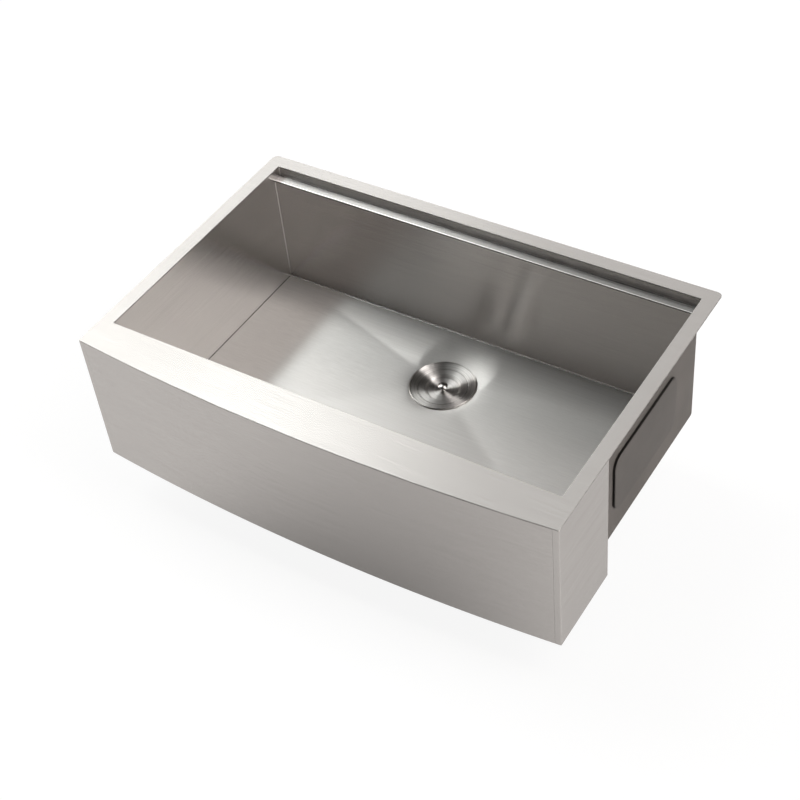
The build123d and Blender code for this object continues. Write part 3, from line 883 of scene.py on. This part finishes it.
def seam_path(side):
    """Outside seam between the trough and an end plate, sunk so that the beads lie half in the metal."""
    out = SHEET - BEAD_SINK
    line = rounded([
        (Y_MOUTH_FRONT - out, -2 * SHEET, 0),
        (Y_MOUTH_FRONT - out, -LEDGE_DROP - out, BEND + out),
        (Y_WALL_FRONT - out, -LEDGE_DROP - out, BEND),
        (Y_WALL_FRONT - out, -BOWL_DEPTH - out, FLOOR_BEND + out),
        (Y_WALL_BACK + out, -BOWL_DEPTH - out, FLOOR_BEND + out),
        (Y_WALL_BACK + out, -LEDGE_DROP - out, BEND),
        (Y_MOUTH_BACK + out, -LEDGE_DROP - out, BEND + out),
        (Y_MOUTH_BACK + out, -2 * SHEET, 0),
    ])
    mesh = bpy.data.meshes.new("seam_path")
    points = [(side * X_MOUTH, y, z) for y, z in line]
    mesh.from_pydata(points, [(i, i + 1) for i in range(len(points) - 1)], [])
    return mesh


perforated = grown(
    "basket_perforated", perforation_tree(), merged_copy("basket"), Rows=4, Count=28, Radius=BASKET_RADIUS,
    Hole=1.6 * MM, Low=SEAT_Z - 38.0 * MM, Rise=6.4 * MM, Finish=steel_turned,
)
placed(perforated, "basket", "turned_steel", "basket")

thread = thread_tree()
cup_thread = grown(
    "strainer_thread", thread, Radius=CUP_THREAD, Foot=SEAT_Z - 52.6 * MM, Length=31.0 * MM, Pitch=2.4 * MM,
    Ridge=0.7 * MM, Finish=steel_turned,
)
outlet_thread = grown(
    "outlet_thread", thread, Radius=OUTLET_THREAD, Foot=SEAT_Z - 75.0 * MM, Length=10.0 * MM, Pitch=2.2 * MM,
    Ridge=0.65 * MM, Finish=steel_turned,
)
for piece in (cup_thread, outlet_thread):
    placed(piece, "sink", "turned_steel")

ribs = rib_tree()
lock_ribs = grown(
    "lock_nut_ribs", ribs, Radius=lock_high.x - 6.0 * MM, Count=120, Width=1.2 * MM,
    Foot=lock_low.z + 0.6 * MM, Height=8.8 * MM, Finish=nut_plastic,
)
coupling_ribs = grown(
    "coupling_nut_ribs", ribs, Radius=28.0 * MM, Count=72, Width=1.1 * MM, Foot=coupling_low.z + 1.5 * MM,
    Height=coupling_high.z - coupling_low.z - 3.0 * MM, Finish=nut_plastic,
)
for piece in (lock_ribs, coupling_ribs):
    placed(piece, "sink", "nut_plastic")

weld = weld_tree()
for side, hand in HANDS:
    beads = grown(hand + "_seam_weld", weld, seam_path(side), Spacing=1.3 * MM, Bead=0.9 * MM, Finish=coat)
    placed(beads, "sink", "brushed_sheet")

# ---------------------------------------------------------------- studio

CAMERA_PLACE = (1.07435, -1.57242, 1.59073)
CAMERA_TURN = (45.6047, 4.8304, 31.8650)
CAMERA_LENS = 70.72

FLOOR_HALF = 9.0            # half the ground's side
FLOOR_PAINT = (0.92, 0.92, 0.92, 1)
FLOOR_WHITE = 0.85          # share of plain white, over which the painted ground shows its shadow
FLOOR_SEEN = 1.06           # strength of that white to the eye
FLOOR_NEAR = 0.26           # and to metal that mirrors it, in the shade by the apron
FLOOR_FAR = 0.74            # and further off
FLOOR_SHADE = (0.05, -0.36) # middle of that shade
FLOOR_REACH = (0.08, 0.48)  # distances over which it fades

BANK_BACK = (1.10, 1.26)    # turn about X from the back horizon, in radians, over which the banks begin
BANK_FRONT = (1.55, 1.75)   # and over which they end, past the zenith
LOW_LEFT = (0.14, 0.30)     # share of a ray that points left, over which the dim part of the left bank begins
LOW_LIGHT = 1.42
BANK_LEFT = (0.36, 0.50)    # and its bright part
LEFT_LIGHT = 4.7
BANK_END = (0.50, 0.58)     # where the left bank starts to fade again
END_LOSS = 1.35
BANK_RIGHT = (-0.08, 0.65)  # share of a ray that points right, over which the right bank begins
RIGHT_LIGHT = 5.5
WING_LEFT = (0.52, 0.76)    # pale side walls
LEFT_WING = 0.55
WING_RIGHT = (0.79, 1.04)
RIGHT_WING = 1.8
WINDOW_TOP = (0.90, 1.26)   # turn over which the low window behind the sink ends
WINDOW_LEFT = (0.09, 0.20)
WINDOW_LIGHT = 0.76
ROOM_TINT = (1.0, 0.965, 0.943, 1)
LIGHT_TINT = (0.975, 1.0, 0.985, 1)
WHITE = (1, 1, 1, 1)


def studio_camera():
    """Camera fitted to the photograph's edges."""
    lens = bpy.data.cameras.new("camera")
    lens.lens = CAMERA_LENS
    lens.sensor_width = 36.0
    lens.clip_end = 60.0
    camera = bpy.data.objects.new("camera", lens)
    camera.location = CAMERA_PLACE
    camera.rotation_euler = Euler([radians(turn) for turn in CAMERA_TURN])
    bpy.context.scene.collection.objects.link(camera)
    bpy.context.scene.camera = camera


def studio_floor():
    """White ground that keeps the sink's shadow. Metal mirrors it grey by the apron and paler further off."""
    paint = Finish("studio_floor")
    rays = paint.add("ShaderNodeLightPath").socket.node.outputs
    seen = Output(paint, rays["Is Camera Ray"])
    mirrored = Output(paint, rays["Is Glossy Ray"]) + Output(paint, rays["Is Transmission Ray"])
    x, y = paint.parts()[:2]
    x, y = x - FLOOR_SHADE[0], y - FLOOR_SHADE[1]
    far = paint.ease((x * x + y * y) ** 0.5, *FLOOR_REACH) * (FLOOR_FAR - FLOOR_NEAR) + FLOOR_NEAR
    lit = paint.add("ShaderNodeBsdfDiffuse", {}, {"Color": FLOOR_PAINT})
    glow = {"Color": paint.mix(seen, ROOM_TINT, WHITE), "Strength": seen * FLOOR_SEEN + mirrored * far}
    white = paint.add("ShaderNodeEmission", {}, glow)
    shader = paint.add("ShaderNodeMixShader", {}, {0: (seen + mirrored) * FLOOR_WHITE, 1: lit, 2: white})
    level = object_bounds()[0].z
    around = ((-1, -1), (1, -1), (1, 1), (-1, 1))
    corners = [(across * FLOOR_HALF, along * FLOOR_HALF, level) for across, along in around]
    mesh = bpy.data.meshes.new("studio_floor")
    mesh.from_pydata(corners, [], [(0, 1, 2, 3)])
    new_piece("studio_floor", mesh, paint.close(shader))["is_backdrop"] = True


def studio_sky():
    """Dark room with soft light overhead on the left and right, a low window behind and pale side walls.

    The eye itself sees plain white.
    """
    world = bpy.data.worlds.new("studio_sky")
    world.use_nodes = True
    sky = Nodes(world.node_tree)
    sky.tree.nodes.clear()
    ray = sky.add("ShaderNodeTexCoord", output="Generated")
    split = sky.add("ShaderNodeSeparateXYZ", {}, {0: ray}).socket.node
    right, back, height = [Output(sky, socket) for socket in split.outputs]
    left = 0 - right
    turn = height.maths("ARCTAN2", height, back)
    overhead = sky.ease(turn, *BANK_BACK) * (1 - sky.ease(turn, *BANK_FRONT))
    left_light = sky.ease(left, *LOW_LEFT) * LOW_LIGHT + sky.ease(left, *BANK_LEFT) * LEFT_LIGHT
    left_bank = overhead * (left_light - sky.ease(left, *BANK_END) * END_LOSS)
    right_bank = overhead * sky.ease(right, *BANK_RIGHT) * RIGHT_LIGHT
    wings = sky.ease(left, *WING_LEFT) * LEFT_WING + sky.ease(right, *WING_RIGHT) * RIGHT_WING
    window = (1 - sky.ease(turn, *WINDOW_TOP)) * sky.ease(left, *WINDOW_LEFT) * WINDOW_LIGHT
    camera = sky.add("ShaderNodeLightPath", output="Is Camera Ray")
    light = left_bank + right_bank + (1 - overhead) * wings + window
    tint = sky.mix(sky.ease(left_bank, 0.0, 0.6), ROOM_TINT, LIGHT_TINT)
    tint = sky.mix(camera, tint, WHITE)
    strength = light * (1 - camera) + camera
    background = sky.add("ShaderNodeBackground", {}, {"Color": tint, "Strength": strength})
    sky.add("ShaderNodeOutputWorld", {}, {"Surface": background})
    bpy.context.scene.world = world


studio_camera()
studio_floor()
studio_sky()
bpy.context.scene.view_settings.view_transform = "Standard"
